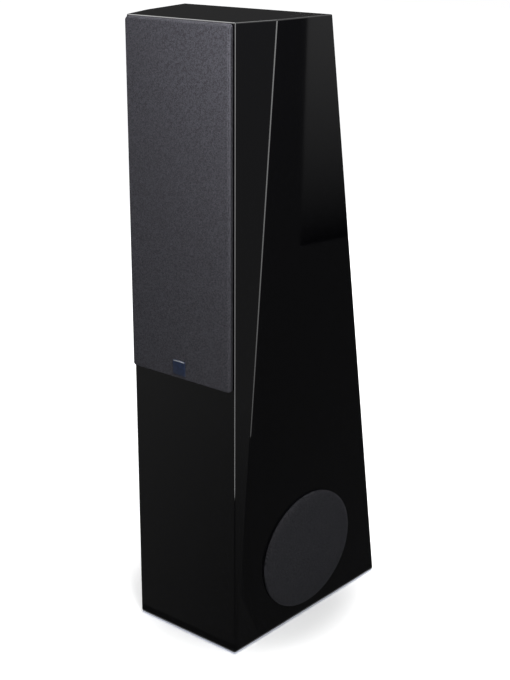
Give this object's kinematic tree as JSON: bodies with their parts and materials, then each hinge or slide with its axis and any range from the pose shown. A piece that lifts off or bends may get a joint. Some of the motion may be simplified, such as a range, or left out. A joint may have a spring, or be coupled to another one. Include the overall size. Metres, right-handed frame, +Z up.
{
  "type": "floorstanding loudspeaker",
  "caption": "Tall gloss black faceted tower loudspeaker with a sloping back, a cloth front grille, round side grilles over opposed woofers and a rear port.",
  "frame": {"origin": "on the floor, midway across the width and midway between the front of the grille and the tips of the terminals", "axes": "+Z up, the front grille faces -Y, +X is on the right in a view of the front"},
  "size_m": [0.3532, 0.4182, 1.143],
  "materials": {
    "lacquer": "gloss black lacquer over fibreboard",
    "board": "raw fibreboard",
    "plinth": "satin silver",
    "pad": "matte black rubber",
    "basket": "satin black",
    "magnet": "dark zinc and ferrite",
    "surround": "black rubber",
    "cone": "graphite filled",
    "plate": "satin black",
    "dome": "satin metal dome",
    "cloth": "charcoal woven grille cloth",
    "frame": "black moulded frame",
    "badge": "satin dark blue with a silver line",
    "port": "satin black",
    "brass": "gold plated",
    "knob": "black insulating grips",
    "circuit": "circuit board",
    "copper": "enamelled copper winding",
    "film": "film capacitor",
    "wadding": "white polyester wadding"
  },
  "bodies": {
    "cabinet": {"front_baffle": "lacquer", "side_panel_right": "lacquer", "side_panel_left": "lacquer", "back_panel": "lacquer", "top_panel": "lacquer", "bottom_panel": "lacquer", "chamber_shelf": "board", "window_brace": "board", "plinth_plate": "plinth", "foot_pad_front_right": "pad", "foot_pad_back_right": "pad", "foot_pad_back_left": "pad", "foot_pad_front_left": "pad", "midrange_upper_basket": "basket", "midrange_upper_magnet": "magnet", "midrange_upper_surround": "surround", "midrange_lower_basket": "basket", "midrange_lower_magnet": "magnet", "midrange_lower_surround": "surround", "woofer_right_basket": "basket", "woofer_right_magnet": "magnet", "woofer_right_surround": "surround", "woofer_left_basket": "basket", "woofer_left_magnet": "magnet", "woofer_left_surround": "surround", "tweeter_plate": "plate", "tweeter_magnet": "magnet", "port_tube": "port", "terminal_plate": "plate", "post_stem_1": "brass", "post_stem_2": "brass", "post_stem_3": "brass", "post_stem_4": "brass", "jumper_link_left": "brass", "jumper_link_right": "brass", "crossover_board": "circuit", "crossover_coil_left": "copper", "crossover_coil_right": "copper", "crossover_capacitor": "film", "damping_wadding": "wadding"},
    "woofer_cone_right": {"woofer_right_cone": "cone"},
    "disc_grille_right": {"disc_frame_right": "frame", "disc_cloth_right": "cloth"},
    "woofer_cone_left": {"woofer_left_cone": "cone"},
    "disc_grille_left": {"disc_frame_left": "frame", "disc_cloth_left": "cloth"},
    "midrange_cone_upper": {"midrange_upper_cone": "cone"},
    "midrange_cone_lower": {"midrange_lower_cone": "cone"},
    "tweeter_dome": {"tweeter_dome": "dome"},
    "front_grille": {"grille_frame": "frame", "grille_cloth": "cloth", "badge_plate": "badge"},
    "post_washer_1": {"post_washer_1": "brass"},
    "post_knob_1": {"post_knob_1": "knob"},
    "post_washer_2": {"post_washer_2": "brass"},
    "post_knob_2": {"post_knob_2": "knob"},
    "post_washer_3": {"post_washer_3": "brass"},
    "post_knob_3": {"post_knob_3": "knob"},
    "post_washer_4": {"post_washer_4": "brass"},
    "post_knob_4": {"post_knob_4": "knob"}
  },
  "joints": [
    {"name": "woofer_right_stroke", "type": "slide", "parent": "cabinet", "child": "woofer_cone_right", "axis": [0.9865, -0.1633, -0.0095], "range_m": [-0.006, 0.006], "stiffness_N_per_m": 1500},
    {"name": "woofer_left_stroke", "type": "slide", "parent": "cabinet", "child": "woofer_cone_left", "axis": [-0.9865, -0.1633, -0.0095], "range_m": [-0.006, 0.006], "stiffness_N_per_m": 1500},
    {"name": "midrange_upper_stroke", "type": "slide", "parent": "cabinet", "child": "midrange_cone_upper", "axis": [0, -1, 0], "range_m": [-0.003, 0.003], "stiffness_N_per_m": 1200},
    {"name": "midrange_lower_stroke", "type": "slide", "parent": "cabinet", "child": "midrange_cone_lower", "axis": [0, -1, 0], "range_m": [-0.003, 0.003], "stiffness_N_per_m": 1200},
    {"name": "tweeter_stroke", "type": "slide", "parent": "cabinet", "child": "tweeter_dome", "axis": [0, -1, 0], "range_m": [-0.0004, 0.0004], "stiffness_N_per_m": 800},
    {"name": "front_grille_pull", "type": "slide", "parent": "cabinet", "child": "front_grille", "axis": [0, -1, 0], "range_m": [0, 0.06]},
    {"name": "disc_grille_right_pull", "type": "slide", "parent": "cabinet", "child": "disc_grille_right", "axis": [0.9865, -0.1633, -0.0095], "range_m": [0, 0.04]},
    {"name": "disc_grille_left_pull", "type": "slide", "parent": "cabinet", "child": "disc_grille_left", "axis": [-0.9865, -0.1633, -0.0095], "range_m": [0, 0.04]},
    {"name": "post_1_travel", "type": "slide", "parent": "cabinet", "child": "post_washer_1", "axis": [0, 0.9875, 0.1573], "range_m": [0, 0.0038]},
    {"name": "post_1_turn", "type": "hinge", "parent": "post_washer_1", "child": "post_knob_1", "pos_m": [0.022, 0.19984, 0.09637], "axis": [0, 0.9875, 0.1573], "range_deg": [0, 1080]},
    {"name": "post_2_travel", "type": "slide", "parent": "cabinet", "child": "post_washer_2", "axis": [0, 0.9875, 0.1573], "range_m": [0, 0.0038]},
    {"name": "post_2_turn", "type": "hinge", "parent": "post_washer_2", "child": "post_knob_2", "pos_m": [-0.022, 0.19984, 0.09637], "axis": [0, 0.9875, 0.1573], "range_deg": [0, 1080]},
    {"name": "post_3_travel", "type": "slide", "parent": "cabinet", "child": "post_washer_3", "axis": [0, 0.9875, 0.1573], "range_m": [0, 0.0038]},
    {"name": "post_3_turn", "type": "hinge", "parent": "post_washer_3", "child": "post_knob_3", "pos_m": [0.022, 0.19386, 0.13389], "axis": [0, 0.9875, 0.1573], "range_deg": [0, 1080]},
    {"name": "post_4_travel", "type": "slide", "parent": "cabinet", "child": "post_washer_4", "axis": [0, 0.9875, 0.1573], "range_m": [0, 0.0038]},
    {"name": "post_4_turn", "type": "hinge", "parent": "post_washer_4", "child": "post_knob_4", "pos_m": [-0.022, 0.19386, 0.13389], "axis": [0, 0.9875, 0.1573], "range_deg": [0, 1080]}
  ],
  "couplings": [
    {"joint": "post_1_travel", "follows": "post_1_turn", "m_per_rad": 0.00019894},
    {"joint": "post_2_travel", "follows": "post_2_turn", "m_per_rad": 0.00019894},
    {"joint": "post_3_travel", "follows": "post_3_turn", "m_per_rad": 0.00019894},
    {"joint": "post_4_travel", "follows": "post_4_turn", "m_per_rad": 0.00019894}
  ]
}
